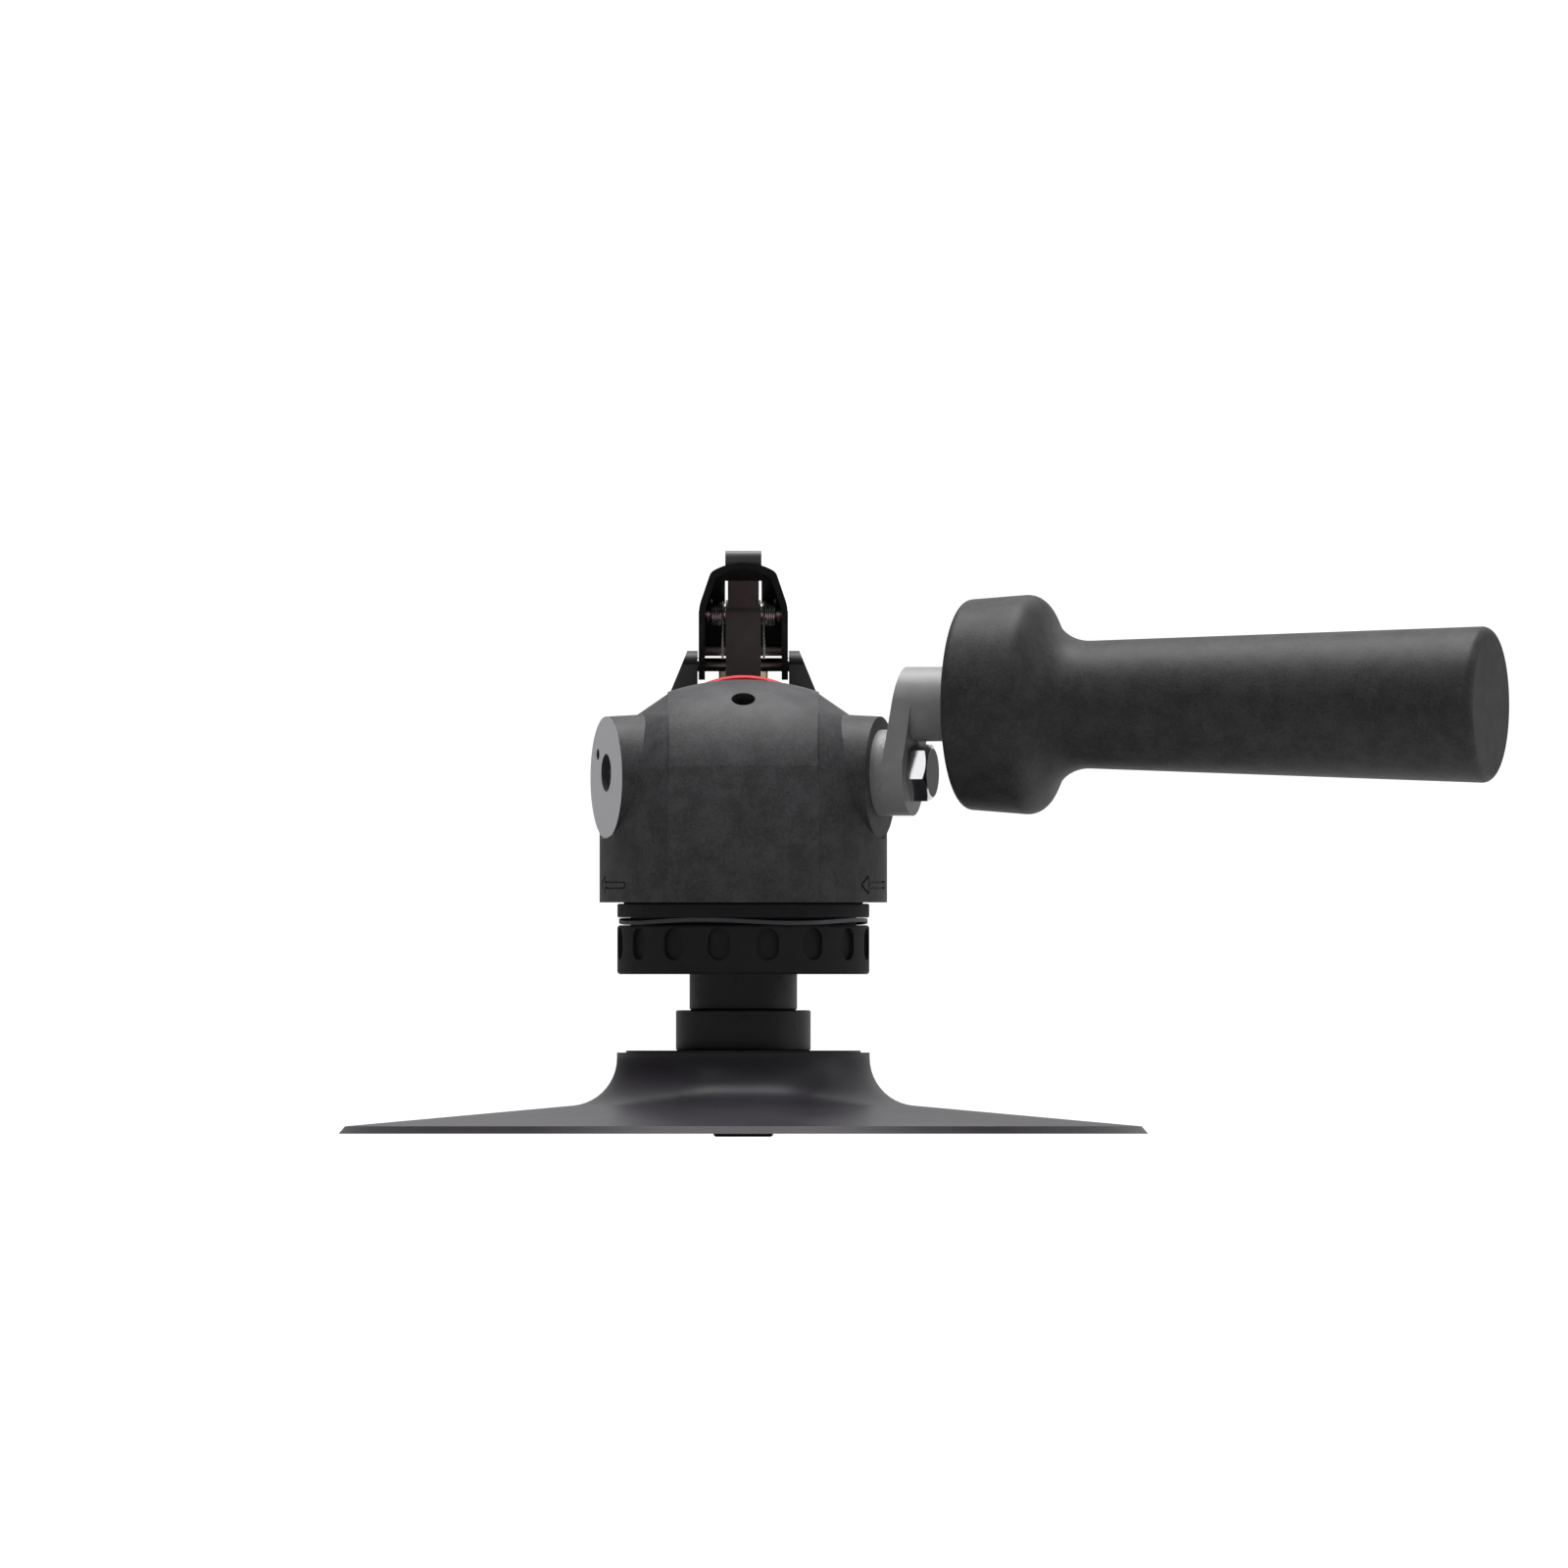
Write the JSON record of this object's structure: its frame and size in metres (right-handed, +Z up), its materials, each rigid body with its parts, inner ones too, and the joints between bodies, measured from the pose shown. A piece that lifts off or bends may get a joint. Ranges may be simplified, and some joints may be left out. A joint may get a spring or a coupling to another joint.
{
  "type": "vacuum suction cup",
  "caption": "Hand-held vacuum suction cup: wide rubber disc on a swivel spindle under a cast head, with an angled side grip and an air-fed rear barrel with a throttle lever.",
  "frame": {"origin": "on the cup's axis at the plane of its sealing lip", "axes": "+Z up along the spindle, +Y back along the barrel to the air inlet, side grip towards +X"},
  "size_m": [0.2935, 0.2485, 0.147],
  "materials": {
    "cup_rubber": "glossy dark grey rubber",
    "plated_steel": "zinc plated",
    "dark_steel": "satin black",
    "black_plastic": "matt",
    "spring_steel": "bright wire",
    "bronze": "plain",
    "seal_rubber": "matt",
    "satin_black": "satin black",
    "dark_spring": "oil blacked",
    "head_coat": "fine textured matt dark grey",
    "bolt_chrome": "bright",
    "grip_plastic": "fine textured matt dark grey",
    "trim_red": "glossy red",
    "barrel_alloy": "satin black",
    "pad_rubber": "matt ribbed",
    "brass": "turned",
    "catch_coat": "satin dark grey"
  },
  "bodies": {
    "head": {"head_housing": "head_coat", "bearing_flange": "satin_black", "flange_screws": "plated_steel", "wave_spring": "dark_spring", "spindle_bush": "bronze", "spindle_seal": "seal_rubber", "thrust_washer": "bronze", "spindle_washer": "plated_steel", "threaded_insert_right": "plated_steel", "threaded_insert_left": "plated_steel", "anti_turn_pin": "plated_steel", "serrated_washer": "satin_black", "arm_bolt": "bolt_chrome", "barrel_trim_ring": "trim_red", "barrel": "barrel_alloy", "barrel_grip_pad": "pad_rubber", "rear_cap": "satin_black", "tie_screws": "plated_steel", "ejector_nozzle": "brass", "diffuser": "brass", "silencer": "bronze", "air_inlet": "plated_steel", "valve_bush": "brass", "valve_seat": "seal_rubber", "valve_spring": "spring_steel", "lever_pin": "plated_steel"},
    "ring": {"lock_ring": "satin_black"},
    "cup": {"cup_rubber": "cup_rubber", "cup_insert": "plated_steel", "cup_top_plate": "dark_steel", "hub_collar": "dark_steel", "spindle": "dark_steel", "spindle_clip": "spring_steel", "touch_valve_retainer": "black_plastic", "touch_valve_spring": "spring_steel"},
    "touch_plunger": {"touch_valve_plunger": "black_plastic"},
    "lever": {"lever_shell": "satin_black", "press_pin": "plated_steel", "catch_pin": "plated_steel", "catch_clips": "spring_steel", "catch_washers": "spring_steel", "catch_spring_left": "spring_steel", "catch_spring_right": "spring_steel"},
    "catch": {"lock_off_catch": "catch_coat"},
    "valve": {"valve_stem": "brass"},
    "crank": {"crank_arm": "satin_black", "grip_washer": "plated_steel", "grip_stud": "plated_steel", "grip_core": "plated_steel", "side_grip": "grip_plastic"}
  },
  "joints": [
    {"name": "lock_ring_turn", "type": "hinge", "parent": "head", "child": "ring", "pos_m": [0, 0, 0.046], "axis": [0, 0, 1], "range_deg": [-45, 0]},
    {"name": "cup_swivel", "type": "hinge", "parent": "head", "child": "cup", "pos_m": [0, 0, 0], "axis": [0, 0, 1], "continuous": true},
    {"name": "touch_valve_slide", "type": "slide", "parent": "cup", "child": "touch_plunger", "axis": [0, 0, 1], "range_m": [0, 0.0025], "stiffness_N_per_m": 300, "springref_m": -0.002, "deforming": ["touch_valve_spring"]},
    {"name": "lever_squeeze", "type": "hinge", "parent": "head", "child": "lever", "pos_m": [0, 0.104, 0.1176], "axis": [1, 0, 0], "range_deg": [0, 7], "stiffness_Nm_per_rad": 1.5, "springref_deg": -8.59},
    {"name": "catch_turn", "type": "hinge", "parent": "lever", "child": "catch", "pos_m": [0, 0.064, 0.1305], "axis": [1, 0, 0], "range_deg": [-49, 0]},
    {"name": "valve_slide", "type": "slide", "parent": "head", "child": "valve", "axis": [0, 0, 1], "range_m": [-0.00196, 0], "deforming": ["valve_spring"]},
    {"name": "crank_turn", "type": "hinge", "parent": "head", "child": "crank", "pos_m": [0, 0, 0.0905], "axis": [0.9659, -0.2588, 0], "range_deg": [-90, 90]}
  ],
  "couplings": [
    {"joint": "catch_turn", "follows": "lever_squeeze", "ratio": -7},
    {"joint": "valve_slide", "follows": "lever_squeeze", "m_per_rad": -0.016}
  ]
}
